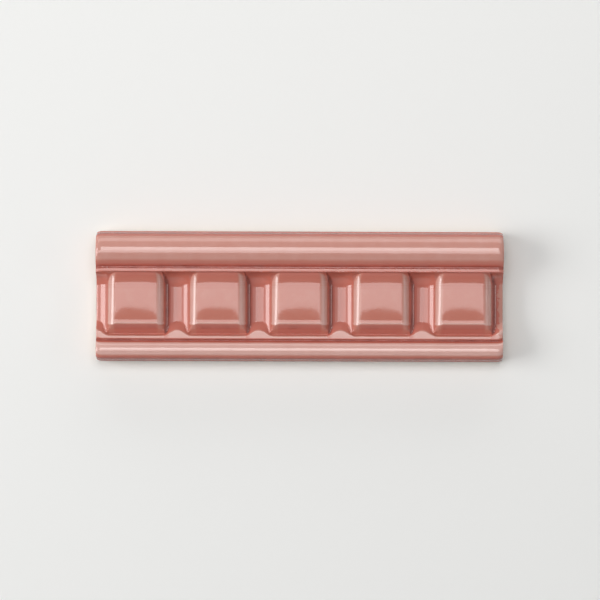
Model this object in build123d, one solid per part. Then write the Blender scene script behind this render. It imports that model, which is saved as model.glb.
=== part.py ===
from build123d import *
from math import atan2, cos, radians, sin, tan
import os

# Dentil moulding tile: one pressed ceramic trim with a quarter-round crown, a row of
# tooth blocks (dentils) hanging below it in a recessed frieze, a narrow lip and a half
# round bead along the foot. It lies on its back: X runs along the tile, Y points up
# the wall towards the crown, Z comes out of the wall. Millimetres.

# Overall
length = 152.0
height = 48.6
corner_radius = 0.7

# Thickness from the back to each level of the front
crown_thickness = 15.5
upper_lip_thickness = 13.1
crown_groove_thickness = 12.6
dentil_thickness = 11.7
bead_thickness = 12.0
lower_lip_thickness = 9.7
bead_groove_thickness = 9.0
floor_thickness = 7.6

# Long edges: the crown and the bead stand back from the outline by a small ledge
edge_ledge = 0.55
edge_slope = 0.9
edge_radius = 0.4
back_radius = 0.5

# Crown: a quarter round above, and the same curve carried a little way under it
crown_radius = 7.0
crown_under_angle = 47.0
crown_flat = 0.1
crown_groove_radius = 0.5

# Upper lip: the thin moulding that the dentils hang from
upper_lip_width = 1.5
upper_lip_radius = 0.45
upper_lip_setback = 0.6
frieze_wall_lean = 1.2

# Bead along the foot
bead_radius = 3.5
bead_upper_angle = 60.0
bead_flat = 0.1
bead_groove_radius = 0.4

# Lower lip, between the bead and the frieze
lower_lip_setback = 0.9
lower_lip_width = 2.1
lower_lip_radius = 0.45

# Dentils
dentil_count = 5
dentil_pitch = 30.55
dentil_width = 20.8
dentil_draft = 14.0
dentil_edge_radius = 2.2
dentil_bevel_angle = 40.0
dentil_rim_setback = 3.1
dentil_cove_angle = 40.0
dentil_cove_radius = 4.4
pillow_rise = 0.5
pillow_margin = 2.9

# Gaps between the dentils: a flat floor that curves up into all four sides
gap_side_radius = 1.7
gap_cove_radius = 3.8
gap_foot_radius = 3.0
gap_foot_slope = 3.8
gap_swell_radius = 1.2

# Groove under each dentil, cut into the lower lip
lip_band = 0.8
dentil_groove_radius = 1.05
dentil_groove_thickness = 8.8
dentil_groove_shortening = 1.8

# Keying grooves along the unglazed back
key_count = 4
key_pitch = 10.5
key_width = 5.0
key_depth = 0.9
key_flank = 0.5

# Stations up the height, each measured from the moulding beside it
bead_high = edge_ledge + bead_radius + bead_flat + bead_radius * tan(radians(bead_upper_angle / 2))
bead_groove = bead_high + (bead_thickness - bead_groove_thickness) / tan(radians(bead_upper_angle))
lower_lip_low = bead_groove + lower_lip_setback
lower_lip_high = lower_lip_low + lower_lip_width
gap_foot = lower_lip_high + gap_foot_slope

crown_high = height - edge_ledge
crown_low = crown_high - crown_radius - crown_flat - crown_radius * tan(radians(crown_under_angle / 2))
crown_groove = crown_low - (crown_thickness - crown_groove_thickness) / tan(radians(crown_under_angle))
upper_lip_high = crown_groove - upper_lip_setback
upper_lip_low = upper_lip_high - upper_lip_width
frieze_high = upper_lip_low - frieze_wall_lean

dentil_groove = lower_lip_low + lip_band + dentil_groove_radius
bevel_high = dentil_groove + dentil_rim_setback

# The cove of a dentil ends where it touches the rounded nose of the upper lip
nose_turn = atan2(upper_lip_thickness - floor_thickness, frieze_wall_lean)
cove_high = upper_lip_low + upper_lip_radius * (tan(nose_turn / 2) - sin(radians(dentil_cove_angle)))
cove_top = upper_lip_thickness - upper_lip_radius * (1 - cos(radians(dentil_cove_angle)))
cove_low = cove_high - (cove_top - dentil_thickness) / tan(radians(dentil_cove_angle))
face_high = cove_low - dentil_cove_radius * tan(radians(dentil_cove_angle / 2))


def section(corners):
    """Closed section from corners given as (up the wall, thickness, corner radius)."""
    points = [(up, out) for up, out, radius in corners]
    radii = [radius for up, out, radius in corners]
    return make_face(FilletPolyline(*points, radius=radii, close=True))


def run_along(face, start, distance):
    """Carry a section along the tile."""
    return extrude(Plane.YZ.offset(start) * face, amount=distance)


def moulding():
    """The plain moulding, its frieze still filled to the level of the lower lip."""
    bead_ledge = bead_thickness - bead_radius - bead_flat
    crown_ledge = crown_thickness - crown_radius - crown_flat
    fill = (lower_lip_thickness - floor_thickness) / (upper_lip_thickness - floor_thickness)
    corners = [
        (0, 0, back_radius),
        (0, bead_ledge - edge_slope, edge_radius),
        (edge_ledge, bead_ledge, 0),
        (edge_ledge, bead_thickness, bead_radius),
        (bead_high, bead_thickness, bead_radius),
        (bead_groove, bead_groove_thickness, bead_groove_radius),
        (lower_lip_low, lower_lip_thickness, lower_lip_radius),
        (frieze_high + fill * frieze_wall_lean, lower_lip_thickness, 0),
        (upper_lip_low, upper_lip_thickness, upper_lip_radius),
        (upper_lip_high, upper_lip_thickness, upper_lip_radius),
        (crown_groove, crown_groove_thickness, crown_groove_radius),
        (crown_low, crown_thickness, crown_radius),
        (crown_high, crown_thickness, crown_radius),
        (crown_high, crown_ledge, 0),
        (height, crown_ledge - edge_slope, edge_radius),
        (height, 0, back_radius),
    ]
    return run_along(section(corners), -length / 2, length)


def side_half_width(thickness):
    """Half the width of a dentil at a given thickness, between its leaning sides."""
    middle = (dentil_thickness + floor_thickness) / 2
    return dentil_width / 2 + (middle - thickness) * tan(radians(dentil_draft))


def gap_tool(left, right):
    """What is taken out between two dentils whose centres are at left and right."""
    above = crown_thickness
    side = section([
        (lower_lip_low, above, 0),
        (lower_lip_low, lower_lip_thickness, 0),
        (lower_lip_high, lower_lip_thickness, gap_swell_radius),
        (gap_foot, floor_thickness, gap_foot_radius),
        (frieze_high, floor_thickness, gap_cove_radius),
        (upper_lip_low, upper_lip_thickness, 0),
        (upper_lip_low, above, 0),
    ])
    below = floor_thickness / 2
    front = make_face(Polyline(
        (left + side_half_width(below), below), (right - side_half_width(below), below),
        (right - side_half_width(above), above), (left + side_half_width(above), above), close=True,
    ))
    tool = run_along(side, left, right - left) & extrude(Plane.XZ * front, amount=-height)
    return fillet(floor_edges(tool), gap_side_radius)


def floor_edges(tool):
    """The edges where the floor of a gap meets its two leaning sides."""
    edges = []
    for edge in tool.edges():
        box = edge.bounding_box()
        inner = box.min.Y > lower_lip_low - 0.001 and box.size.Y > 0.001
        if inner and box.max.Z < upper_lip_thickness + 0.001:
            edges.append(edge)
    return edges


def dentil_block():
    """A tooth's flat faces: bevelled foot, front, and cove, between two leaning sides."""
    inside = floor_thickness / 2
    bevel_run = (dentil_thickness - inside) / tan(radians(dentil_bevel_angle))
    reach = upper_lip_width
    side = section([
        (bevel_high - bevel_run, inside, 0),
        (bevel_high, dentil_thickness, 0),
        (cove_low, dentil_thickness, dentil_cove_radius),
        (cove_high + reach, cove_top + reach * tan(radians(dentil_cove_angle)), 0),
        (cove_high + reach, inside, 0),
    ])
    half_inside = side_half_width(inside)
    half_outside = side_half_width(crown_thickness)
    front = make_face(Polyline(
        (-half_inside, inside), (half_inside, inside),
        (half_outside, crown_thickness), (-half_outside, crown_thickness), close=True,
    ))
    return run_along(side, -half_inside, 2 * half_inside) & extrude(Plane.XZ * front, amount=-height)


def front_edges(block):
    """The edges around a tooth's front: both sides from bevel to cove, and the rim."""
    edges = []
    for edge in block.edges():
        box = edge.bounding_box()
        across = box.size.Y < 0.001
        rim = across and abs(box.min.Y - bevel_high) < 0.001
        if box.max.Z > floor_thickness and (rim or not across):
            edges.append(edge)
    return edges


def pillow():
    """The soft swell of a dentil's face, flat along its four edges."""
    half = dentil_width / 2 - pillow_margin
    low = bevel_high + dentil_edge_radius / 2
    middle = (low + face_high) / 2
    crest = dentil_thickness + 4 * pillow_rise
    net = [
        [(x, up, crest if x == 0 and up == middle else dentil_thickness) for up in (low, middle, face_high)]
        for x in (-half, 0, half)
    ]
    return extrude(Face.make_bezier_surface(net), amount=dentil_thickness - floor_thickness, dir=(0, 0, -1))


def dentil():
    """One tooth, rounded along its front edges and trimmed where it meets the lip."""
    block = dentil_block()
    block = fillet(front_edges(block), dentil_edge_radius)
    block &= Pos(0, cove_high - height / 2, 0) * Box(2 * dentil_width, height, 2 * crown_thickness)
    return block + pillow()


def dentil_groove_cut():
    """The round-ended groove that parts a dentil's foot from the lip."""
    reach = dentil_width / 2 - dentil_groove_shortening
    centre = dentil_groove_thickness + dentil_groove_radius
    path = Line((-reach, dentil_groove, centre), (reach, dentil_groove, centre))
    tool = Plane.YZ.offset(-reach) * Pos(dentil_groove, centre) * Circle(dentil_groove_radius)
    tool = extrude(tool, amount=2 * reach)
    for end in (path @ 0, path @ 1):
        tool += Pos(end) * Sphere(dentil_groove_radius)
    return tool


def key_groove():
    """One keying groove, wider at its mouth, for the adhesive to grip."""
    half = key_width / 2
    mouth = [(-half, 0), (half, 0), (half - key_flank, key_depth), (-half + key_flank, key_depth)]
    return run_along(make_face(Polyline(*mouth, close=True)), -length / 2, length)


tile = moulding()
first = -dentil_pitch * (dentil_count - 1) / 2
for i in range(dentil_count + 1):
    right = first + i * dentil_pitch
    tile -= gap_tool(right - dentil_pitch, right)
tooth = dentil()
tooth_groove = dentil_groove_cut()
for i in range(dentil_count):
    place = Pos(first + i * dentil_pitch, 0, 0)
    tile = tile + place * tooth - place * tooth_groove
for i in range(key_count):
    tile -= Pos(0, height / 2 + (i - (key_count - 1) / 2) * key_pitch, 0) * key_groove()
outline = Pos(0, height / 2) * RectangleRounded(length, height, corner_radius)
tile &= extrude(outline, amount=crown_thickness)
tile = Pos(0, -height / 2, 0) * tile

os.makedirs("parts", exist_ok=True)
export_step(tile, "parts/moulding_tile.step")
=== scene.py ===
# %% [markdown]
# A dentil moulding tile is a piece of architectural trim, pressed from clay in one
# go: a quarter-round crown along the top, a row of square teeth (dentils) hanging in
# a sunk frieze, a thin lip below them and a half-round bead along the foot. It was
# dipped in a terracotta-pink glaze that runs thin over what stands out, where it
# shows pale, and gathers in the hollows, where it goes deep red.
# Here it lies on its back: X runs along it, Y points up the wall, Z comes out of it.

# %% Load the measured solid
from math import atan2, ceil, cos, exp, pi, radians, sin, tan

import bmesh
import bpy
from mathutils import Matrix, Vector


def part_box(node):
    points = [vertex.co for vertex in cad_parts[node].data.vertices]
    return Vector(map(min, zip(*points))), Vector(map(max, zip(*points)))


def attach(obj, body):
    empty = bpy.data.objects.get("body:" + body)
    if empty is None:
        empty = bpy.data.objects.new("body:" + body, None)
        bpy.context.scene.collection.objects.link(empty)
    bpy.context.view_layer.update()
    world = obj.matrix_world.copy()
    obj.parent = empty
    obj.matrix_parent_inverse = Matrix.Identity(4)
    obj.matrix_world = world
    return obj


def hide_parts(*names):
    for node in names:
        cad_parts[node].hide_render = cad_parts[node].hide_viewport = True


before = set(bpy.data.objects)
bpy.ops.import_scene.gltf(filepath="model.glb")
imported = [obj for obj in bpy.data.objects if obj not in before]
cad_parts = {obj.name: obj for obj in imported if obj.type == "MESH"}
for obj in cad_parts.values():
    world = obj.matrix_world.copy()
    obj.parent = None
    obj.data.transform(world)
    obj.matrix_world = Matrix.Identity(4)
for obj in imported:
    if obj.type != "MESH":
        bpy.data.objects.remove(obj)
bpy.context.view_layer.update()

MM = 0.001
NODE = "moulding_tile"
low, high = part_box(NODE)
length = (high[0] - low[0]) / MM
height = (high[1] - low[1]) / MM
crown_thickness = (high[2] - low[2]) / MM
print("tile", round(length, 2), "x", round(height, 2), "x", round(crown_thickness, 2), "mm")

# %% [markdown]
# A tile like this is drawn as a workshop would draw it: the thickness from the back
# to each level of its face, and the few radii and angles of its mouldings. All are
# real millimetres. Everything below is worked out from them, so a wider tooth or a
# deeper frieze is one number changed here.

# %% Sizes of the mouldings
upper_lip_thickness = 13.1
crown_groove_thickness = 12.6
dentil_thickness = 11.7
bead_thickness = 12.0
lower_lip_thickness = 9.7
bead_groove_thickness = 9.0
floor_thickness = 7.6

edge_ledge = 0.55
edge_slope = 0.9
edge_radius = 0.4
back_radius = 0.5
crown_radius = 7.0
crown_under_angle = radians(47)
crown_groove_radius = 0.5
bead_radius = 3.5
bead_upper_angle = radians(60)
bead_groove_radius = 0.25
top_flat = 0.1

upper_lip_width = 1.3
upper_lip_setback = 0.55
lower_lip_setback = 0.45
lip_radius = 0.45
frieze_wall_lean = 1.2

# %% Sizes of the dentils and of the gaps between them
dentil_count = 5
dentil_pitch = 30.55
dentil_width = 20.9
dentil_draft = radians(28)
dentil_side_radius = 3.6
dentil_rim_radius = 1.2
dentil_bevel_angle = radians(40)
dentil_rim_setback = 3.6
dentil_cove_angle = radians(40)
dentil_cove_radius = 11.8
pillow_rise = 0.5
pillow_foot_margin = 1.5
pillow_crest = 27.6

gap_bowl_radius = 6.9
gap_cove_radius = 5.8
gap_foot_height = 14.9

lip_band = 0.95
dentil_groove_radius = 1.05
dentil_groove_thickness = 8.4
lip_peak_height = 11.55
lip_peak_from = 9.8

# %% Heights of the mouldings up the wall
bead_high = edge_ledge + bead_radius + top_flat + bead_radius * tan(bead_upper_angle / 2)
bead_groove = bead_high + (bead_thickness - bead_groove_thickness) / tan(bead_upper_angle)
lower_lip_low = bead_groove + lower_lip_setback

crown_high = height - edge_ledge
crown_low = crown_high - crown_radius - top_flat - crown_radius * tan(crown_under_angle / 2)
crown_groove = crown_low - (crown_thickness - crown_groove_thickness) / tan(crown_under_angle)
upper_lip_high = crown_groove - upper_lip_setback
upper_lip_low = upper_lip_high - upper_lip_width
frieze_high = upper_lip_low - frieze_wall_lean

dentil_groove = lower_lip_low + lip_band + dentil_groove_radius
bevel_high = dentil_groove + dentil_rim_setback
nose_turn = atan2(upper_lip_thickness - floor_thickness, frieze_wall_lean)
cove_high = upper_lip_low + lip_radius * (tan(nose_turn / 2) - sin(dentil_cove_angle))
cove_top = upper_lip_thickness - lip_radius * (1 - cos(dentil_cove_angle))
cove_low = cove_high - (cove_top - dentil_thickness) / tan(dentil_cove_angle)
print("frieze from", round(lower_lip_low, 2), "to", round(frieze_high, 2), "mm up the wall")

# %% [markdown]
# A moulding is a section carried along a line, so the section comes first, as a
# template would be cut from tin: corners, each with the radius that rounds it. A curve
# object with bevelled corners could draw it too, but its points couldn't be asked how
# high the line stands at one place, which the frieze needs. So this helper walks from
# corner to corner and puts points round each arc, closer where the arc is large.

# %% A line with rounded corners
ARC_STEP = radians(9)
LARGE_ARC_STEP = radians(4.5)
LARGE_RADIUS = 3.0


def rounded_line(corners):
    """Points (up, out) along corners given as (up, out, radius), both ends included."""
    points = [Vector(corners[0][:2])]
    for before, corner, after in zip(corners, corners[1:], corners[2:]):
        here = Vector(corner[:2])
        arriving = (here - Vector(before[:2])).normalized()
        leaving = (Vector(after[:2]) - here).normalized()
        turn = arriving.angle_signed(leaving)
        radius = corner[2]
        if radius == 0:
            points.append(here)
            continue
        inward = Vector((arriving.y, -arriving.x)) * (1 if turn > 0 else -1)
        start = here - arriving * radius * tan(abs(turn) / 2)
        centre = start + inward * radius
        steps = ceil(abs(turn) / (LARGE_ARC_STEP if radius > LARGE_RADIUS else ARC_STEP))
        for i in range(steps + 1):
            spoke = start - centre
            spoke.rotate(Matrix.Rotation(-turn * i / steps, 2))
            points.append(centre + spoke)
    points.append(Vector(corners[-1][:2]))
    return points


def level_at(line, up):
    """How far out a line stands at one height, or far below the tile beyond its ends."""
    for start, end in zip(line, line[1:]):
        if start.x <= up <= end.x and end.x > start.x:
            return start.y + (end.y - start.y) * (up - start.x) / (end.x - start.x)
    return -crown_thickness


def graded(start, zones):
    """Places from start through zones of (end, greatest step), closer where it counts."""
    places = [start]
    for end, step in zones:
        count = ceil((end - places[-1]) / step)
        origin = places[-1]
        places += [origin + (end - origin) * (i + 1) / count for i in range(count)]
    return places

# %% [markdown]
# The section template goes right round the tile: from the middle of the back, over the
# keying grooves that the adhesive fills, up the foot edge, across the mouldings, down
# the top edge and home. In the frieze three lines lie over each other, and the template
# carries all three at each height: the floor between two dentils, the fill that a
# dentil stands on, and the dentil itself.

# %% The three lines of the frieze
# A level deep in the clay, under every line of the face
CORE_LEVEL = floor_thickness / 2
bevel_run = (dentil_thickness - CORE_LEVEL) / tan(dentil_bevel_angle)
fill_share = (lower_lip_thickness - floor_thickness) / (upper_lip_thickness - floor_thickness)
lip_corners = [
    (upper_lip_low, upper_lip_thickness, lip_radius),
    (upper_lip_high, upper_lip_thickness, 0),
]
floor_line = rounded_line([
    (lower_lip_low, floor_thickness, 0),
    (frieze_high, floor_thickness, gap_cove_radius),
] + lip_corners)
fill_line = rounded_line([
    (lower_lip_low, lower_lip_thickness, 0),
    (frieze_high + fill_share * frieze_wall_lean, lower_lip_thickness, gap_cove_radius),
] + lip_corners)
dentil_line = rounded_line([
    (bevel_high - bevel_run, CORE_LEVEL, 0),
    (bevel_high, dentil_thickness, dentil_rim_radius),
    (cove_low, dentil_thickness, dentil_cove_radius),
    (cove_high, cove_top, 0),
])
face_high = cove_low - dentil_cove_radius * tan(dentil_cove_angle / 2)
bevel_low = bevel_high - (dentil_thickness - dentil_groove_thickness) / tan(dentil_bevel_angle)
pillow_low = bevel_high + pillow_foot_margin
print("dentil face from", round(bevel_high, 2), "to", round(face_high, 2), "mm")

# %% [markdown]
# The rest of the section goes round the tile in order. The back of a pressed trim has
# shallow keying grooves, wider at the mouth, so that the adhesive grips it, and both
# long edges have a small ledge where the face stands back from the wall of the die.
# In the frieze the stations are set by height instead, close together at the groove,
# the rims and the lip, where the face turns quickly.

# %% The whole section
key_count = 4
key_pitch = 10.5
key_width = 5.0
key_depth = 0.9
key_flank = 0.5
frieze_from = lower_lip_low + lip_radius
frieze_to = upper_lip_low + lip_radius


def key_corners(*keys):
    """Corners of some of the keying grooves, met while crossing the back downwards."""
    corners = []
    for i in keys:
        centre = height / 2 + (i - (key_count - 1) / 2) * key_pitch
        side = key_width / 2
        corners += [(centre + side, 0, 0), (centre + side - key_flank, key_depth, 0),
                    (centre - side + key_flank, key_depth, 0), (centre - side, 0, 0)]
    return corners


bead_ledge = bead_thickness - bead_radius - top_flat
crown_ledge = crown_thickness - crown_radius - top_flat
middle_of_back = (height / 2, 0, 0)
section_corners = [middle_of_back] + key_corners(1, 0) + [
    (0, 0, back_radius),
    (0, bead_ledge - edge_slope, edge_radius),
    (edge_ledge, bead_ledge, 0),
    (edge_ledge, bead_thickness, bead_radius),
    (bead_high, bead_thickness, bead_radius),
    (bead_groove, bead_groove_thickness, bead_groove_radius),
    (lower_lip_low, lower_lip_thickness, lip_radius),
    (frieze_high + fill_share * frieze_wall_lean, lower_lip_thickness, 0),
    (upper_lip_low, upper_lip_thickness, lip_radius),
    (upper_lip_high, upper_lip_thickness, lip_radius),
    (crown_groove, crown_groove_thickness, crown_groove_radius),
    (crown_low, crown_thickness, crown_radius),
    (crown_high, crown_thickness, crown_radius),
    (crown_high, crown_ledge, 0),
    (height, crown_ledge - edge_slope, edge_radius),
    (height, 0, back_radius),
] + key_corners(3, 2) + [middle_of_back]

frieze_heights = graded(frieze_from, [
    (dentil_groove + dentil_groove_radius, 0.15),
    (pillow_low + 0.5, 0.2),
    (face_high, 0.7),
    (cove_low + 1, 0.3),
    (frieze_to, 0.12),
])
around = rounded_line(section_corners)
on_face = [i for i, p in enumerate(around) if p.y > CORE_LEVEL]
crown_start = min(i for i in on_face if around[i].x > frieze_to)
foot_end = max(i for i in on_face if around[i].x < frieze_from and i < crown_start)
stations = (around[:foot_end + 1]
            + [Vector((up, level_at(floor_line, up))) for up in frieze_heights]
            + around[crown_start:])
print(len(stations), "stations round the section,", len(frieze_heights), "of them in the frieze")


# %% [markdown]
# Melted glaze behaves like thick syrup. It creeps off whatever bulges and leaves it pale, and it
# gathers in hollows. On slopes that face down the glaze is made deeper, partly as glaze that slid and
# partly as painted shade. On steep slopes that face up, such as the crown's top edge, it is made deeper
# as a painted dark reflection. A pattern painted by place would know nothing of bends and leans, so
# each station measures the bend and the lean of the section itself and carries one number: how thin the
# glaze lies there, with that painted shade worked in.

# %% How thin the glaze lies round the section, with painted shade on steep slopes
THIN_ON_FLAT = 0.45
# More thinness for each radian of turn in a millimetre, felt over this reach
THIN_PER_CURVE = 1.9
GLAZE_REACH = 0.5
# Lean towards the foot at which the glaze deepens and is deepest, as a sine: partly glaze that slid,
# partly painted shade
SLIDE_AND_SHADE_FROM = 0.36
SLIDE_AND_SHADE_TO = 0.8
# The same for a lean towards the crown's edge, where the deepening is a painted dark reflection
DARK_REFLECTION_FROM = 0.78
DARK_REFLECTION_TO = 0.92
# A hollow holds glaze within this reach, and is full at this turn in radians
POOL_REACH = 0.5
POOL_TURN = 0.45
# How far below bare glaze the pooled glaze and the painted shade on slopes go
POOL_AND_SHADE_DEPTH = 0.1
NEAR_STATIONS = 12


def outward(i):
    """The direction out of the tile at a station, in the plane of the section."""
    along = stations[(i + 1) % len(stations)] - stations[i - 1]
    return Vector((0, -along.y, along.x)).normalized()


def bend(i):
    """How sharply the section turns outwards at a station, in radians per millimetre."""
    before, here, after = stations[i - 1], stations[i], stations[(i + 1) % len(stations)]
    if (here - before).length < 1e-6 or (after - here).length < 1e-6:
        return 0
    return (here - before).angle_signed(after - here) / ((after - before).length / 2)


def glaze_thinness(i):
    """From a little under 0 where glaze pools or painted shade lies to 1 where it is drawn thin."""
    around_here = range(max(1, i - NEAR_STATIONS), min(len(stations) - 1, i + NEAR_STATIONS + 1))
    near = [j for j in around_here if (stations[j] - stations[i]).length <= GLAZE_REACH]
    if not near:
        return THIN_ON_FLAT
    turning = sum(bend(j) for j in near) / len(near)
    # Painted shade on slopes that face down, partly glaze that slid, and a painted dark reflection on
    # steep slopes that face up
    facing_down = -outward(i).y
    slid_and_shade = min(1, max(0, (facing_down - SLIDE_AND_SHADE_FROM) / (SLIDE_AND_SHADE_TO - SLIDE_AND_SHADE_FROM),
                      (-facing_down - DARK_REFLECTION_FROM) / (DARK_REFLECTION_TO - DARK_REFLECTION_FROM)))
    pooled = 0
    for j in around_here:
        apart = (stations[j] - stations[i]).length / POOL_REACH
        turn = bend(j) * (stations[j + 1] - stations[j - 1]).length / 2
        pooled += max(0, -turn) * exp(-apart * apart) / POOL_TURN
    pooled = min(1, pooled)
    thin = min(1, max(0, THIN_ON_FLAT + THIN_PER_CURVE * turning)) * (1 - slid_and_shade) * (1 - pooled)
    return thin - POOL_AND_SHADE_DEPTH * max(slid_and_shade, pooled)


# %% [markdown]
# A dentil's own line needs the same care. Its face swells a little like a pillow, and its cove and
# bevel lean. The glaze follows both: it thins over the swell, and it is made deeper on the cove and the
# bevel, partly as glaze that slid and partly as painted shade.

# %% The face of a dentil
def pillow_share(up):
    """The swell of a dentil's face: steepest at its foot, gone where it meets the lip."""
    if up < pillow_crest:
        return max(0, 1 - ((pillow_crest - up) / (pillow_crest - pillow_low)) ** 2)
    down = min(1, (up - pillow_crest) / (cove_high - pillow_crest))
    return 1 - down * down * (3 - 2 * down)


def dentil_thinness(up):
    """Glaze on a dentil: thin where its line bulges, deeper on its leaning cove and bevel, partly as
    painted shade.
    """
    before, after = (level_at(dentil_line, up + step) for step in (-GLAZE_REACH, GLAZE_REACH))
    here = level_at(dentil_line, up)
    rising, leaving = atan2(here - before, GLAZE_REACH), atan2(after - here, GLAZE_REACH)
    thin = THIN_ON_FLAT + THIN_PER_CURVE * (rising - leaving) / (2 * GLAZE_REACH)
    slid_and_shade = min(1, max(0, (sin(abs(rising + leaving) / 2) - SLIDE_AND_SHADE_FROM / 2) / (SLIDE_AND_SHADE_TO - SLIDE_AND_SHADE_FROM)))
    return min(1, max(0, thin)) * (1 - slid_and_shade)


def frieze_levels(up):
    """Fill, dentil face, the foot's fall below it, pillow share and dentil glaze with painted shade."""
    fill = level_at(fill_line, up)
    dentil = level_at(dentil_line, up)
    if up > cove_high:
        dentil = fill - (up - cove_high)
    face = max(dentil_thickness, dentil)
    return fill, face, face - dentil, pillow_share(up), dentil_thinness(up)


# %% [markdown]
# The second template lies along the tile and only says where its columns stand. A
# dentil turns over its edges in three millimetres and its face is nearly flat for
# fourteen, so the columns crowd at the edges and spread out on the face. One half bay
# is planned, mirrored about each dentil and cut off at the ends of the tile.

# %% Columns along the tile
END_ROUND_LENGTH = 2.4
END_COLUMNS = (0.0, 0.05, 0.15, 0.3, 0.5, 0.75, 1.05, 1.4, 1.8, END_ROUND_LENGTH)
half_bay = graded(0, [
    (dentil_width / 2 - 3.4, 1.0),
    (dentil_width / 2 + 0.6, 0.2),
    (dentil_pitch / 2, 0.5),
])
middle_dentil = (dentil_count - 1) / 2
columns = set()
for k in range(dentil_count):
    for offset in half_bay:
        for side in (-1, 1):
            columns.add(round((k - middle_dentil) * dentil_pitch + side * offset, 4))
columns = {x for x in columns if abs(x) < length / 2 - END_ROUND_LENGTH - 0.1}
for inset in END_COLUMNS:
    columns |= {length / 2 - inset, inset - length / 2}
columns = sorted(columns)
print(len(columns), "columns,", 2 * len(columns) * len(stations), "triangles to come")


# %% [markdown]
# Geometry Nodes can't read a Python list, but it can read a mesh. So each template
# becomes an object of loose points, and what a point knows is an attribute on it.

# %% Templates as loose points
def template(name, points, **carried):
    """An object of loose points, with one number or vector carried by each."""
    mesh = bpy.data.meshes.new(name)
    mesh.from_pydata(points, [], [])
    for label, values in carried.items():
        vector = isinstance(values[0], Vector)
        attribute = mesh.attributes.new(label, "FLOAT_VECTOR" if vector else "FLOAT", "POINT")
        flat = [number for value in values for number in value] if vector else values
        attribute.data.foreach_set("vector" if vector else "value", flat)
    obj = bpy.data.objects.new(name, mesh)
    bpy.context.scene.collection.objects.link(obj)
    return obj


frieze_stations = range(foot_end + 1, foot_end + 1 + len(frieze_heights))
in_frieze = [1.0 if i in frieze_stations else 0.0 for i in range(len(stations))]
levels = [frieze_levels(p.x) for p in stations]
spread = [Vector((0, 2 * p.x / height - 1, p.y / crown_thickness)) for p in stations]
# The thinness each station carries includes the painted shade and painted dark reflection on its slopes
section_template = template(
    "section_template", [(0, p.x - height / 2, p.y) for p in stations],
    spread=spread,
    thinness=[glaze_thinness(i) for i in range(len(stations))],
    in_frieze=in_frieze,
    fill=[level[0] for level in levels],
    face=[level[1] for level in levels],
    foot_fall=[level[2] for level in levels],
    pillow=[level[3] for level in levels],
    dentil_thinness=[level[4] for level in levels],
)
column_template = template("column_template", [(x, 0, 0) for x in columns])
print("templates with", len(section_template.data.vertices), "and", len(columns), "points")

# %% [markdown]
# Now the shape itself. The tile follows one rule everywhere, so Geometry Nodes can
# build it: a grid with one row for each station and one column for each place along
# the tile, lifted into shape by the two templates. Cutting blocks out with booleans
# would work as well, but it leaves hard seams that glaze never has. The nodes only do
# sums, so the steps are written as recipes, one Math node to a line.

# %% Two helpers for node trees
def add(tree, kind, inputs=None, **settings):
    """Add a node, set its properties, then link or set its inputs."""
    node = tree.nodes.new(kind)
    for name, value in settings.items():
        setattr(node, name, value)
    for name, value in (inputs or {}).items():
        if isinstance(value, bpy.types.NodeSocket):
            tree.links.new(value, node.inputs[name])
        else:
            node.inputs[name].default_value = value
    return node


def work_out(tree, known, recipe):
    """Lay out a recipe of (result, operation, terms...) as Math nodes, in order."""
    for result, operation, *terms in recipe:
        values = {i: known.get(term, term) for i, term in enumerate(terms)}
        known[result] = add(tree, "ShaderNodeMath", values, operation=operation).outputs[0]


# %% Inputs of the moulding tree
tree_inputs = {
    "Section": ("NodeSocketObject", section_template),
    "Columns": ("NodeSocketObject", column_template),
    "Length": ("NodeSocketFloat", length),
    "Dentil pitch": ("NodeSocketFloat", dentil_pitch),
    "Dentil width": ("NodeSocketFloat", dentil_width),
    "Width measured at": ("NodeSocketFloat", (dentil_thickness + floor_thickness) / 2),
    "Side draft": ("NodeSocketFloat", dentil_draft),
    "Edge radius": ("NodeSocketFloat", dentil_side_radius),
    "Bowl radius": ("NodeSocketFloat", gap_bowl_radius),
    "Hip sharpness": ("NodeSocketFloat", 3.0),
    "Foot softness": ("NodeSocketFloat", 0.25),
    "Pillow rise": ("NodeSocketFloat", pillow_rise),
    "Pillow half width": ("NodeSocketFloat", dentil_width / 2 + 0.2),
    "Pillow squareness": ("NodeSocketFloat", 4.0),
    "Lip band top": ("NodeSocketFloat", lower_lip_low + lip_band + 0.1 - height / 2),
    "Lip peak top": ("NodeSocketFloat", lip_peak_height - height / 2),
    "Lip peak from": ("NodeSocketFloat", lip_peak_from),
    "Lip level": ("NodeSocketFloat", lower_lip_thickness),
    "Lip back slope": ("NodeSocketFloat", radians(55)),
    "Peak easing": ("NodeSocketFloat", 2.5),
    "Gap foot": ("NodeSocketFloat", gap_foot_height - height / 2),
    "Floor level": ("NodeSocketFloat", floor_thickness),
    "Groove bottom": ("NodeSocketFloat", dentil_groove_thickness),
    "Groove far side": ("NodeSocketFloat", bevel_low - height / 2),
    "Bevel angle": ("NodeSocketFloat", dentil_bevel_angle),
    "Groove softness": ("NodeSocketFloat", 0.12),
    "End round length": ("NodeSocketFloat", END_ROUND_LENGTH),
    "End round depth": ("NodeSocketFloat", 0.9),
    "Wave size": ("NodeSocketFloat", 7.0),
    "Wave depth": ("NodeSocketFloat", 0.03),
    "Wave seed": ("NodeSocketFloat", 4.0),
    "Millimetre": ("NodeSocketFloat", MM),
    "Finish": ("NodeSocketMaterial", None),
}

# %% [markdown]
# A dentil is pressed in a die, so its sides lean to let it out, and its edges are
# round. The recipe finds the nearest dentil's middle, follows its face outwards, turns
# over a round edge and runs down the leaning side. Where the side meets the bevelled
# foot, the two falls are blended, which rounds the hip between them.

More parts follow.
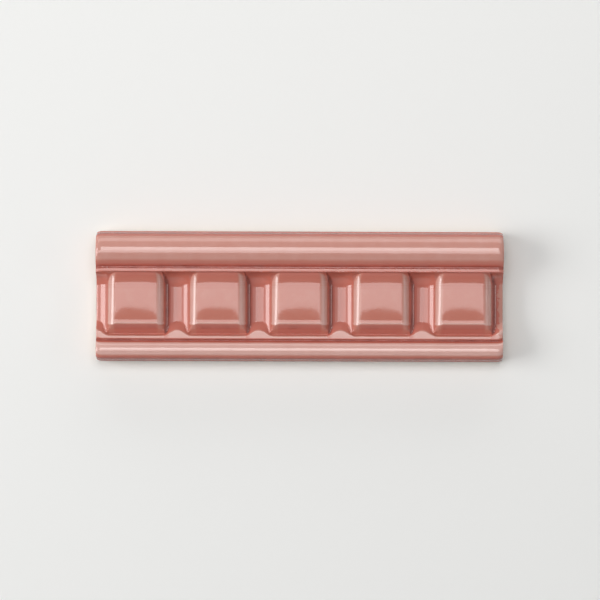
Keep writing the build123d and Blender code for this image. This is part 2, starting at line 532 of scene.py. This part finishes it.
# %% Recipe for a dentil, in millimetres
place_along = [
    ("half pitch", "MULTIPLY", "Dentil pitch", 0.5),
    ("u", "PINGPONG", "x", "half pitch"),
    ("half width", "MULTIPLY", "Dentil width", 0.5),
    ("draft", "TANGENT", "Side draft"),
    ("lean of arc", "COSINE", "Side draft"),
    ("steepness", "DIVIDE", 1.0, "draft"),
    ("half turn", "MULTIPLY_ADD", "Side draft", -0.5, pi / 4),
    ("arc run", "TANGENT", "half turn"),
]
dentil_side = [
    ("above middle", "SUBTRACT", "Width measured at", "face"),
    ("wall at face", "MULTIPLY_ADD", "above middle", "draft", "half width"),
    ("past wall", "SUBTRACT", "u", "wall at face"),
    ("past edge", "MULTIPLY_ADD", "Edge radius", "arc run", "past wall"),
    ("edge reach", "MULTIPLY", "Edge radius", "lean of arc"),
    ("from flat", "MAXIMUM", "past edge", 0.0),
    ("on arc", "MINIMUM", "from flat", "edge reach"),
    ("on wall", "SUBTRACT", "from flat", "on arc"),
    ("edge squared", "MULTIPLY", "Edge radius", "Edge radius"),
    ("arc squared", "MULTIPLY", "on arc", "on arc"),
    ("rise squared", "SUBTRACT", "edge squared", "arc squared"),
    ("rise", "SQRT", "rise squared"),
    ("arc fall", "SUBTRACT", "Edge radius", "rise"),
    ("side fall", "MULTIPLY_ADD", "on wall", "steepness", "arc fall"),
]
dentil_top = [
    ("side power", "POWER", "side fall", "Hip sharpness"),
    ("foot power", "POWER", "foot_fall", "Hip sharpness"),
    ("both powers", "ADD", "side power", "foot power"),
    ("root", "DIVIDE", 1.0, "Hip sharpness"),
    ("fall", "POWER", "both powers", "root"),
    ("share across", "DIVIDE", "u", "Pillow half width"),
    ("share power", "POWER", "share across", "Pillow squareness"),
    ("swell across", "SUBTRACT", 1.0, "share power"),
    ("swell", "MAXIMUM", "swell across", 0.0),
    ("swell here", "MULTIPLY", "swell", "pillow"),
    ("pillow height", "MULTIPLY", "swell here", "Pillow rise"),
    ("fallen face", "SUBTRACT", "face", "fall"),
    ("dentil", "ADD", "fallen face", "pillow height"),
]
print(len(place_along + dentil_side + dentil_top), "sums for a dentil")

# %% [markdown]
# Between two dentils the die leaves a trough like a bowl: its floor curves up to both
# dentils and to the upper lip. The lower lip runs past below, swells up into the
# trough at its middle and falls steeply behind, so that a narrow groove is left
# between it and each dentil's bevelled foot. The highest of these surfaces is what
# shows, and a soft maximum rounds the line where two of them meet.

# %% Recipe for the lip and the gap
lip_trough = [
    ("past peak start", "SUBTRACT", "u", "Lip peak from"),
    ("in peak", "MAXIMUM", "past peak start", 0.0),
    ("peak width", "SUBTRACT", "half pitch", "Lip peak from"),
    ("peak share", "DIVIDE", "in peak", "peak width"),
    ("share squared", "MULTIPLY", "peak share", "peak share"),
    ("twice share", "MULTIPLY_ADD", "peak share", -2.0, 3.0),
    ("peak curve", "MULTIPLY", "share squared", "twice share"),
    ("peak rise", "SUBTRACT", "Lip peak top", "Lip band top"),
    ("band edge", "MULTIPLY_ADD", "peak curve", "peak rise", "Lip band top"),
    ("past band", "SUBTRACT", "y", "band edge"),
    ("down back", "MAXIMUM", "past band", 0.0),
    ("steep back", "TANGENT", "Lip back slope"),
    ("to foot", "SUBTRACT", "Gap foot", "band edge"),
    ("drop", "SUBTRACT", "Lip level", "Floor level"),
    ("easy back", "DIVIDE", "drop", "to foot"),
    ("easing", "SUBTRACT", "easy back", "steep back"),
    ("in gap", "DIVIDE", "in peak", "Peak easing"),
    ("in gap most", "MINIMUM", "in gap", 1.0),
    ("back slope", "MULTIPLY_ADD", "in gap most", "easing", "steep back"),
    ("back fall", "MULTIPLY", "down back", "back slope"),
    ("lip back", "SUBTRACT", "Lip level", "back fall"),
    ("bevel slope", "TANGENT", "Bevel angle"),
    ("past bottom", "SUBTRACT", "y", "Groove far side"),
    ("up bevel", "MAXIMUM", "past bottom", 0.0),
    ("under bevel", "MULTIPLY_ADD", "up bevel", "bevel slope", "Groove bottom"),
    ("cap", "MINIMUM", "under bevel", "fill"),
]
gap_floor = [
    ("off middle", "SUBTRACT", "half pitch", "u"),
    ("off most", "MINIMUM", "off middle", "Bowl radius"),
    ("off squared", "MULTIPLY", "off most", "off most"),
    ("bowl squared", "MULTIPLY", "Bowl radius", "Bowl radius"),
    ("left squared", "SUBTRACT", "bowl squared", "off squared"),
    ("left", "SQRT", "left squared"),
    ("bowl rise", "SUBTRACT", "Bowl radius", "left"),
    ("side of gap", "ADD", "floor", "bowl rise"),
    ("bed", "MINIMUM", "side of gap", "cap"),
    ("ground", "SMOOTH_MAX", "bed", "lip back", "Groove softness"),
    ("frieze level", "SMOOTH_MAX", "ground", "dentil", "Foot softness"),
]
print(len(lip_trough + gap_floor), "sums for the lip and the gap")

# %% [markdown]
# At its two ends the tile was trimmed before it was fired, and the glaze rounds the
# cut. The last millimetres draw in along a quarter of an ellipse.

# %% Recipe for the ends
end_round = [
    ("half length", "MULTIPLY", "Length", 0.5),
    ("from centre", "ABSOLUTE", "x"),
    ("to end", "SUBTRACT", "half length", "from centre"),
    ("end share", "DIVIDE", "to end", "End round length"),
    ("into round", "SUBTRACT", 1.0, "end share"),
    ("end turn", "MAXIMUM", "into round", 0.0),
    ("turn squared", "MULTIPLY", "end turn", "end turn"),
    ("left of turn", "SUBTRACT", 1.0, "turn squared"),
    ("end height", "SQRT", "left of turn"),
    ("end drop", "SUBTRACT", "end height", 1.0),
    ("end shift", "MULTIPLY", "end drop", "End round depth"),
]
print(len(end_round), "sums for the ends")

# %% [markdown]
# In the frieze the glaze thins over the round edges of the dentils and on the lip. The ground in the
# corner at the right of every dentil is painted dark, as painted shade, and at the far right end the
# glaze is thin and torn.

# %% Recipe for the glaze and the painted shade in the frieze
# Falls down a dentil's side between which its edge is pale, in millimetres
EDGE_STARTS = 0.2
EDGE_ENDS = 2.4
EDGE_FADES = 0.4
EDGE_THINNING = 0.5
THIN_IN_GAP = 0.2
THIN_ON_LIP = 0.5
LIP_FADES = 0.8
# Where the painted shade lies: out from the corner, how wide, and below this fall
SHADE_OUT = 1.6
SHADE_REACH = 3.2
SHADE_BELOW = 1.7
SHADE_DEPTH = 0.6
glaze_and_painted_shade = [
    ("edge start", "DIVIDE", "side fall", EDGE_STARTS),
    ("edge left", "SUBTRACT", EDGE_ENDS, "side fall"),
    ("edge end", "DIVIDE", "edge left", EDGE_FADES),
    ("edge both", "MINIMUM", "edge start", "edge end"),
    ("edge most", "MINIMUM", "edge both", 1.0),
    ("edge thin", "MAXIMUM", "edge most", 0.0),
    ("edge more", "MULTIPLY", "edge thin", EDGE_THINNING),
    ("dentil thin", "ADD", "dentil_thinness", "edge more"),
    ("over ground", "SUBTRACT", "dentil", "ground"),
    ("on dentil soft", "ADD", "over ground", 0.5),
    ("on dentil most", "MINIMUM", "on dentil soft", 1.0),
    ("on dentil", "MAXIMUM", "on dentil most", 0.0),
    ("down from lip", "DIVIDE", "down back", LIP_FADES),
    ("near lip", "SUBTRACT", 1.0, "down from lip"),
    ("near lip most", "MAXIMUM", "near lip", 0.0),
    ("ground thin", "MULTIPLY_ADD", "near lip most", THIN_ON_LIP, THIN_IN_GAP),
    ("over dentil", "SUBTRACT", "dentil thin", "ground thin"),
    ("frieze thin", "MULTIPLY_ADD", "over dentil", "on dentil", "ground thin"),
    # Painted shade: the corner at the right of every dentil is darkened
    ("bays along", "DIVIDE", "x", "Dentil pitch"),
    ("turn along", "MULTIPLY", "bays along", 2 * pi),
    ("side of dentil", "SINE", "turn along"),
    ("painted shade side", "MAXIMUM", "side of dentil", 0.0),
    ("from shaded corner", "ADD", "over ground", SHADE_OUT),
    ("off corner", "ABSOLUTE", "from shaded corner"),
    ("corner far", "DIVIDE", "off corner", SHADE_REACH),
    ("corner near", "SUBTRACT", 1.0, "corner far"),
    ("in corner", "MAXIMUM", "corner near", 0.0),
    ("down side", "SUBTRACT", "side fall", SHADE_BELOW),
    ("down side most", "MINIMUM", "down side", 1.0),
    ("on side", "MAXIMUM", "down side most", 0.0),
    ("corner on side", "MULTIPLY", "in corner", "on side"),
    ("painted shade", "MULTIPLY", "corner on side", "painted shade side"),
    ("frieze glaze and shade", "MULTIPLY_ADD", "painted shade", -SHADE_DEPTH, "frieze thin"),
]
print(len(glaze_and_painted_shade), "sums for the glaze")


# %% [markdown]
# The tree reads both templates, works through the recipes at every point of the grid,
# and moves the point to its place. Then the surface is given the slow waves of a fired
# glaze, its seam along the back is merged, and it gets its finish.

# %% Parts of the tree
def sampled(tree, template_geometry, index, label, data_type="FLOAT"):
    """What a template carries at one of its points."""
    carried = add(tree, "GeometryNodeInputNamedAttribute", {"Name": label}, data_type=data_type)
    reader = add(tree, "GeometryNodeSampleIndex",
                 {"Geometry": template_geometry, "Value": carried.outputs["Attribute"], "Index": index},
                 data_type=data_type)
    return reader.outputs[0]


def template_parts(tree, socket):
    """A template's geometry and its number of points."""
    geometry = add(tree, "GeometryNodeObjectInfo", {"Object": socket}).outputs["Geometry"]
    size = add(tree, "GeometryNodeAttributeDomainSize", {"Geometry": geometry})
    return geometry, size.outputs["Point Count"]


def chosen(tree, on, off_value, on_value):
    """One value in the frieze and another outside it."""
    values = {"Switch": on, "False": off_value, "True": on_value}
    return add(tree, "GeometryNodeSwitch", values, input_type="FLOAT").outputs[0]


def scaled(tree, vector, factor):
    """A vector made longer or shorter."""
    return add(tree, "ShaderNodeVectorMath", {0: vector, "Scale": factor}, operation="SCALE").outputs[0]


def waved(tree, geometry, known):
    """The slow waves of a fired glaze, in and out of the surface."""
    work_out(tree, known, [
        ("metres a wave", "MULTIPLY", "Wave size", "Millimetre"),
        ("wave scale", "DIVIDE", 1.0, "metres a wave"),
    ])
    inputs = {"Scale": known["wave scale"], "W": known["Wave seed"], "Detail": 1.0}
    known["noise"] = add(tree, "ShaderNodeTexNoise", inputs, noise_dimensions="4D").outputs[0]
    work_out(tree, known, [
        ("wave", "SUBTRACT", "noise", 0.5),
        ("wave depth", "MULTIPLY", "Wave depth", "Millimetre"),
        ("wave height", "MULTIPLY", "wave", "wave depth"),
    ])
    normal = add(tree, "GeometryNodeInputNormal").outputs["Normal"]
    offset = scaled(tree, normal, known["wave height"])
    return add(tree, "GeometryNodeSetPosition", {"Geometry": geometry, "Offset": offset}).outputs[0]


# %% The tree
SEAM_GAP = 0.001 * MM


def moulding_tree():
    tree = bpy.data.node_groups.new("moulding_from_templates", "GeometryNodeTree")
    for name, (kind, value) in tree_inputs.items():
        tree.interface.new_socket(name, in_out="INPUT", socket_type=kind)
    tree.interface.new_socket("Tile", in_out="OUTPUT", socket_type="NodeSocketGeometry")
    given = add(tree, "NodeGroupInput").outputs
    section, rows = template_parts(tree, given["Section"])
    along, places = template_parts(tree, given["Columns"])
    grid = add(tree, "GeometryNodeMeshGrid", {"Vertices X": places, "Vertices Y": rows})

    known = {name: given[name] for name in tree_inputs if tree_inputs[name][0] == "NodeSocketFloat"}
    known["index"] = add(tree, "GeometryNodeInputIndex").outputs[0]
    known["rows"] = rows
    work_out(tree, known, [
        ("ratio", "DIVIDE", "index", "rows"),
        ("column", "FLOOR", "ratio"),
        ("row", "MODULO", "index", "rows"),
    ])
    column_point = sampled(tree, along, known["column"], "position", "FLOAT_VECTOR")
    station_point = sampled(tree, section, known["row"], "position", "FLOAT_VECTOR")
    known["x"] = add(tree, "ShaderNodeSeparateXYZ", {0: column_point}).outputs["X"]
    station = add(tree, "ShaderNodeSeparateXYZ", {0: station_point}).outputs
    known["y"], known["floor"] = station["Y"], station["Z"]
    for label in ("in_frieze", "thinness", "fill", "face", "foot_fall", "pillow", "dentil_thinness"):
        known[label] = sampled(tree, section, known["row"], label)
    for recipe in (place_along, dentil_side, dentil_top, lip_trough, gap_floor, end_round, glaze_and_painted_shade):
        work_out(tree, known, recipe)

    level = chosen(tree, known["in_frieze"], known["floor"], known["frieze level"])
    thinness = chosen(tree, known["in_frieze"], known["thinness"], known["frieze glaze and shade"])
    place = add(tree, "ShaderNodeCombineXYZ", {"X": known["x"], "Y": known["y"], "Z": level}).outputs[0]
    spread = sampled(tree, section, known["row"], "spread", "FLOAT_VECTOR")
    inset = scaled(tree, spread, known["end shift"])
    rounded = add(tree, "ShaderNodeVectorMath", {0: place, 1: inset}, operation="ADD").outputs[0]
    in_metres = scaled(tree, rounded, given["Millimetre"])
    shaped = add(tree, "GeometryNodeSetPosition",
                 {"Geometry": grid.outputs["Mesh"], "Position": in_metres})
    # The stored glaze number also carries the painted shade and painted dark reflection
    stored = add(tree, "GeometryNodeStoreNamedAttribute",
                 {"Geometry": shaped.outputs[0], "Name": "glaze_thinness", "Value": thinness},
                 data_type="FLOAT", domain="POINT")
    wavy = waved(tree, stored.outputs[0], known)
    closed = add(tree, "GeometryNodeMergeByDistance", {"Geometry": wavy, "Distance": SEAM_GAP})
    smooth = add(tree, "GeometryNodeSetShadeSmooth", {"Geometry": closed.outputs[0]})
    real = add(tree, "GeometryNodeRealizeInstances", {"Geometry": smooth.outputs[0]})
    finished = add(tree, "GeometryNodeSetMaterial",
                   {"Geometry": real.outputs[0], "Material": given["Finish"]})
    add(tree, "NodeGroupOutput", {"Tile": finished.outputs[0]})
    return tree

# %% [markdown]
# Glaze is a thin coat of glass melted on to the clay, so it is smooth, hard and
# shiny, with an index of refraction of 1.5 to 1.6. Its colour is set by its thickness:
# over the crown, the bead and the dentils' edges it is drawn thin and the pale slip
# shows through, on the flats it is terracotta pink, and in the grooves it pools dark.
# The shape already carries that as an attribute, together with the painted shade in the corners at the
# right of the dentils and on slopes that face down, and the painted dark reflection on steep slopes
# that face up, so one ramp turns it into colour.
# The back and the lower edges were never dipped: they are bare, rough, buff clay.
# A painted image could show all this, but it would not follow a changed size.

# %% Colour from a hex value
def srgb(code):
    """Linear colour from a hex value such as #AD6156."""
    values = [int(code[i:i + 2], 16) / 255 for i in (1, 3, 5)]
    return [v / 12.92 if v <= 0.04045 else ((v + 0.055) / 1.055) ** 2.4 for v in values] + [1.0]


# %% Glazed earthenware
# From the deepest colour, for glaze that has pooled and for painted shade, over glaze on slopes and
# flats, to glaze drawn thin
GLAZE_COLOURS = {0.0: "#843C31", 0.15: "#BB6355", 0.32: "#BD6959",
                 0.53: "#BF7261", 0.76: "#C88E81", 1.0: "#D6A79D"}
# The part of the ramp below bare glaze, reached by pooled glaze and by painted shade
POOL_AND_SHADE_SHARE = 0.15
DRIFT_OF_COLOUR = 0.2
GLAZE_ROUGHNESS = 0.05
DRIFT_OF_ROUGHNESS = 0.05
GLAZE_GRAIN_DEPTH = 0.0015 * MM
BISQUE_COLOURS = {0.0: "#C39C7F", 1.0: "#D3B396"}
BISQUE_ROUGHNESS = 0.85
BISQUE_GRAIN_DEPTH = 0.08 * MM
GLAZE_IOR = 1.6
# The glaze stops at this height above the back, on a line that wanders this much
GLAZE_LINE = 5.2 * MM
GLAZE_LINE_SWING = 2.4 * MM
GLAZE_LINE_EDGE = 0.15 * MM
# The torn glaze at the right end: where it starts, its swing, and where it lies up the tile
RAGGED_FROM = 74.2 * MM
RAGGED_SWING = 6.0 * MM
RAGGED_EDGE = 0.2 * MM
RAGGED_MIDDLE = -4.5 * MM
RAGGED_REACH = 10.0 * MM
RAGGED_FADE = 1.0 * MM
RAGGED_THINNING = 0.5
RAGGED_RELIEF = 0.12 * MM
# Sizes of the patterns and their detail: slow drift, fine grain, ragged edges
PATTERNS = (("drift", 5.0 * MM, 3.0), ("grain", 0.45 * MM, 3.0), ("ragged", 2.2 * MM, 4.0))


def ramp(tree, factor, colours):
    """A colour ramp between hex colours at the places given."""
    node = add(tree, "ShaderNodeValToRGB", {"Fac": factor})
    stops = node.color_ramp.elements
    while len(stops) < len(colours):
        stops.new(0.5)
    for stop, (place, code) in zip(stops, sorted(colours.items())):
        stop.position = place
        stop.color = srgb(code)
    return node.outputs["Color"]


def glazed_earthenware():
    material = bpy.data.materials.new("glazed_earthenware")
    material.use_nodes = True
    tree = material.node_tree
    shader = tree.nodes["Principled BSDF"]
    place = add(tree, "ShaderNodeTexCoord").outputs["Object"]
    thinness = add(tree, "ShaderNodeAttribute", attribute_name="glaze_thinness").outputs["Fac"]
    parts = add(tree, "ShaderNodeSeparateXYZ", {0: place}).outputs
    known = {"thinness": thinness, "x": parts["X"], "y": parts["Y"], "z": parts["Z"]}
    for label, size, detail in PATTERNS:
        inputs = {"Vector": place, "Scale": 1 / size, "Detail": detail}
        known[label] = add(tree, "ShaderNodeTexNoise", inputs).outputs["Fac"]
    work_out(tree, known, [
        ("ragged off", "SUBTRACT", "ragged", 0.5),
        ("tear line", "MULTIPLY_ADD", "ragged off", RAGGED_SWING, RAGGED_FROM),
        ("past tear", "SUBTRACT", "x", "tear line"),
        ("tear soft", "MULTIPLY", "past tear", 1 / RAGGED_EDGE),
        ("up from tears", "SUBTRACT", "y", RAGGED_MIDDLE),
        ("off tears", "ABSOLUTE", "up from tears"),
        ("inside tears", "SUBTRACT", RAGGED_REACH, "off tears"),
        ("inside soft", "MULTIPLY", "inside tears", 1 / RAGGED_FADE),
        ("tear both", "MINIMUM", "tear soft", "inside soft"),
        ("tear most", "MINIMUM", "tear both", 1.0),
        ("torn", "MAXIMUM", "tear most", 0.0),
        ("drift off", "SUBTRACT", "drift", 0.5),
        ("drifted", "MULTIPLY_ADD", "drift off", DRIFT_OF_COLOUR, "thinness"),
        ("run thin", "MULTIPLY_ADD", "torn", RAGGED_THINNING, "drifted"),
        ("flow", "MULTIPLY_ADD", "run thin", 1 - POOL_AND_SHADE_SHARE, POOL_AND_SHADE_SHARE),
        ("line", "MULTIPLY_ADD", "ragged off", GLAZE_LINE_SWING, GLAZE_LINE),
        ("under line", "SUBTRACT", "line", "z"),
        ("bare soft", "MULTIPLY_ADD", "under line", 1 / GLAZE_LINE_EDGE, 0.5),
        ("bare most", "MINIMUM", "bare soft", 1.0),
        ("bare", "MAXIMUM", "bare most", 0.0),
        ("glaze rough", "MULTIPLY_ADD", "drift", DRIFT_OF_ROUGHNESS, GLAZE_ROUGHNESS),
        ("glazed share", "SUBTRACT", 1.0, "bare"),
        ("rough part", "MULTIPLY", "bare", BISQUE_ROUGHNESS),
        ("roughness", "MULTIPLY_ADD", "glazed share", "glaze rough", "rough part"),
        ("bump depth", "MULTIPLY_ADD", "bare", BISQUE_GRAIN_DEPTH, GLAZE_GRAIN_DEPTH),
        ("fine height", "MULTIPLY", "grain", "bump depth"),
        ("bump height", "MULTIPLY_ADD", "torn", RAGGED_RELIEF, "fine height"),
    ])
    # The ramp draws the glaze's thinness together with the painted shade carried in it
    glaze = ramp(tree, known["flow"], GLAZE_COLOURS)
    bisque = ramp(tree, known["grain"], BISQUE_COLOURS)
    colour = add(tree, "ShaderNodeMix", {0: known["bare"], 6: glaze, 7: bisque}, data_type="RGBA")
    relief = {"Height": known["bump height"], "Distance": 1.0, "Strength": 1.0}
    bump = add(tree, "ShaderNodeBump", relief)
    tree.links.new(colour.outputs[2], shader.inputs["Base Color"])
    tree.links.new(known["roughness"], shader.inputs["Roughness"])
    tree.links.new(bump.outputs[0], shader.inputs["Normal"])
    shader.inputs["IOR"].default_value = GLAZE_IOR
    return material


glaze = glazed_earthenware()
print("material", glaze.name, "with", len(glaze.node_tree.nodes), "nodes")

# %% [markdown]
# The tree is set on an empty object as a modifier, its inputs are filled in by their
# identifiers, and the result is kept as a plain mesh. The grid is a tube without ends,
# so both ends of the tile are filled with triangles afterwards, and the creases there
# and along the keying grooves are kept crisp.

# %% Build the tile
CRISP_TURN = radians(25)


def evaluated_moulding():
    """Run the tree once and keep what it made as an ordinary mesh."""
    carrier = bpy.data.objects.new("moulding_carrier", bpy.data.meshes.new("moulding_carrier"))
    bpy.context.scene.collection.objects.link(carrier)
    tree = moulding_tree()
    modifier = carrier.modifiers.new("moulding", "NODES")
    modifier.node_group = tree
    for item in tree.interface.items_tree:
        if item.in_out == "INPUT":
            kind, value = tree_inputs[item.name]
            modifier[item.identifier] = glaze if item.name == "Finish" else value
    evaluated = carrier.evaluated_get(bpy.context.evaluated_depsgraph_get())
    mesh = bpy.data.meshes.new_from_object(evaluated)
    mesh.materials.clear()
    mesh.materials.append(glaze)
    for spent in (carrier, section_template, column_template):
        bpy.data.objects.remove(spent)
    return mesh


def close_ends(mesh):
    """Cap both ends, point the faces outwards and keep the edges of the back crisp."""
    bm = bmesh.new()
    bm.from_mesh(mesh)
    rims = [edge for edge in bm.edges if edge.is_boundary]
    caps = []
    for side in (-1, 1):
        rim = [edge for edge in rims if edge.verts[0].co.x * side > 0]
        filled = bmesh.ops.triangle_fill(bm, edges=rim, normal=(side, 0, 0), use_beauty=True)
        caps += [face for face in filled["geom"] if isinstance(face, bmesh.types.BMFace)]
    bmesh.ops.recalc_face_normals(bm, faces=bm.faces)
    for face in bm.faces:
        face.smooth = True
        face.material_index = 0
    rim_set = set(rims)
    for edge in bm.edges:
        on_back = max(vertex.co.z for vertex in edge.verts) < (key_depth + 0.1) * MM
        if edge in rim_set or (on_back and edge.calc_face_angle(0) > CRISP_TURN):
            edge.smooth = False
    still_open = sum(edge.is_boundary for edge in bm.edges)
    print(len(caps), "triangles close the ends,", still_open, "open edges left")
    bm.to_mesh(mesh)
    bm.free()


mesh = evaluated_moulding()
close_ends(mesh)
tile = bpy.data.objects.new("glazed_tile", mesh)
bpy.context.scene.collection.objects.link(tile)
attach(tile, "root")
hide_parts(NODE)
triangles = sum(len(polygon.vertices) - 2 for polygon in mesh.polygons)
print("glazed_tile:", triangles, "triangles, size", [round(side / MM, 2) for side in tile.dimensions])

# %% [markdown]
# The floor is a plain pale sheet. It keeps the tile's soft shadow and, because the
# glaze is a mirror at low angles, it also lights the edges that lean out towards it.

# %% Floor
FLOOR_SIZE = 6.0
FLOOR_COLOUR = "#F2F2F0"


def plain_floor():
    mesh = bpy.data.meshes.new("floor")
    reach = FLOOR_SIZE / 2
    mesh.from_pydata([(-reach, -reach, 0), (reach, -reach, 0), (reach, reach, 0), (-reach, reach, 0)],
                     [], [(0, 1, 2, 3)])
    floor = bpy.data.objects.new("floor", mesh)
    bpy.context.scene.collection.objects.link(floor)
    paint = bpy.data.materials.new("matt_white_paint")
    paint.use_nodes = True
    shader = paint.node_tree.nodes["Principled BSDF"]
    shader.inputs["Base Color"].default_value = srgb(FLOOR_COLOUR)
    shader.inputs["Roughness"].default_value = 0.9
    shader.inputs["Specular IOR Level"].default_value = 0.2
    mesh.materials.append(paint)
    return floor


plain_floor()
print("floor", FLOOR_SIZE, "m across")

# %% [markdown]
# The light is what draws a glazed moulding: each soft box shows as a stripe along
# every curve that faces it. A long strip beside the camera, with a dim wing at its
# right, gives the flat faces their sheen and the crown and bead their sharp stripes,
# and a box past it pales the crown's top. A wide box on the left, with a bright heart,
# lights the left side of every dentil. A dim panel at the foot, a low box beyond the
# crown and a small strip on the right only keep the other slopes from going flat.

# %% Soft boxes
TARGET = Vector((0, 0, crown_thickness * MM))


def soft_box(name, place, size, radiance, aim=TARGET):
    """A rectangular lamp that looks as bright as its radiance, whatever its size."""
    lamp = bpy.data.lights.new(name, "AREA")
    lamp.shape = "RECTANGLE"
    lamp.size, lamp.size_y = size
    lamp.energy = radiance * pi * size[0] * size[1]
    obj = bpy.data.objects.new(name, lamp)
    obj.location = place
    obj.rotation_euler = (Vector(aim) - Vector(place)).to_track_quat("-Z", "Y").to_euler()
    bpy.context.scene.collection.objects.link(obj)
    return obj


BOX_HEIGHT = 1.25
soft_box("overhead_strip", (-0.215, 0.006, BOX_HEIGHT), (1.25, 0.288), 3.2, aim=(-0.215, 0.006, 0))
soft_box("overhead_wing", (0.66, 0.006, BOX_HEIGHT), (0.5, 0.288), 0.9, aim=(0.66, 0.006, 0))
soft_box("overhead_box", (0, 0.38, BOX_HEIGHT), (0.7, 0.46), 4.9, aim=(0, 0.38, 0))
soft_box("left_box", (-1.76, 0, 1.12), (1.2, 1.6), 1.5)
soft_box("left_heart", (-1.64, 0, 1.06), (1.2, 0.8), 4.9)
soft_box("near_panel", (0, -1.6, 1.0), (2.4, 1.6), 0.25)
soft_box("far_box", (0, 1.0, 0.25), (1.6, 0.46), 1.7)
soft_box("right_strip", (0.93, 0, 0.53), (0.8, 0.1), 2.5)
print(len(bpy.data.lights), "lamps")

# %% [markdown]
# A studio is a pale room. Glaze mirrors it, and the camera may see it past the floor,
# so for those rays it is pale, while for the light it sheds it stays dim. That keeps
# the glaze's colour as it was chosen.

# %% Pale surroundings
SEEN_LEVEL = 0.5
FILL_LEVEL = 0.05


def studio_world():
    """Pale where it is seen or mirrored, dim where it only fills the shadows."""
    world = bpy.data.worlds.new("studio")
    bpy.context.scene.world = world
    world.use_nodes = True
    tree = world.node_tree
    path = add(tree, "ShaderNodeLightPath").outputs
    known = {name: path[name] for name in ("Is Camera Ray", "Is Glossy Ray", "Is Transmission Ray")}
    work_out(tree, known, [
        ("seen or mirrored", "ADD", "Is Camera Ray", "Is Glossy Ray"),
        ("any", "ADD", "seen or mirrored", "Is Transmission Ray"),
        ("any at most", "MINIMUM", "any", 1.0),
        ("level", "MULTIPLY_ADD", "any at most", SEEN_LEVEL - FILL_LEVEL, FILL_LEVEL),
    ])
    tree.links.new(known["level"], tree.nodes["Background"].inputs["Strength"])
    tree.nodes["Background"].inputs["Color"].default_value = (1, 1, 1, 1)


studio_world()
bpy.context.scene.view_settings.view_transform = "Standard"

# %% [markdown]
# The photograph was taken straight on with a long lens, so nothing converges. The tile
# fills two thirds of a square frame, turned by a fifth of a degree. The values in
# pixels are where the tile lies in the photograph, and the distance follows from them.

# %% Camera
IMAGE_PIXELS = 600
TILE_PIXELS = 406.3
TILE_CENTRE = (299.6, 296.5)
TILE_TURN = radians(0.18)
SENSOR = 36.0
FOCAL_LENGTH = 192.0

metres_a_pixel = length * MM / TILE_PIXELS
camera_data = bpy.data.cameras.new("camera")
camera_data.sensor_width = SENSOR
camera_data.lens = FOCAL_LENGTH
distance = metres_a_pixel * IMAGE_PIXELS * FOCAL_LENGTH / SENSOR
camera = bpy.data.objects.new("camera", camera_data)
right = (IMAGE_PIXELS / 2 - TILE_CENTRE[0]) * metres_a_pixel
up = (TILE_CENTRE[1] - IMAGE_PIXELS / 2) * metres_a_pixel
above = distance + floor_thickness * MM
camera.location = Matrix.Rotation(TILE_TURN, 4, "Z") @ Vector((right, up, above))
camera.rotation_euler = (0, 0, TILE_TURN)
bpy.context.scene.collection.objects.link(camera)
bpy.context.scene.camera = camera
print("camera", round(distance, 3), "m above the frieze")
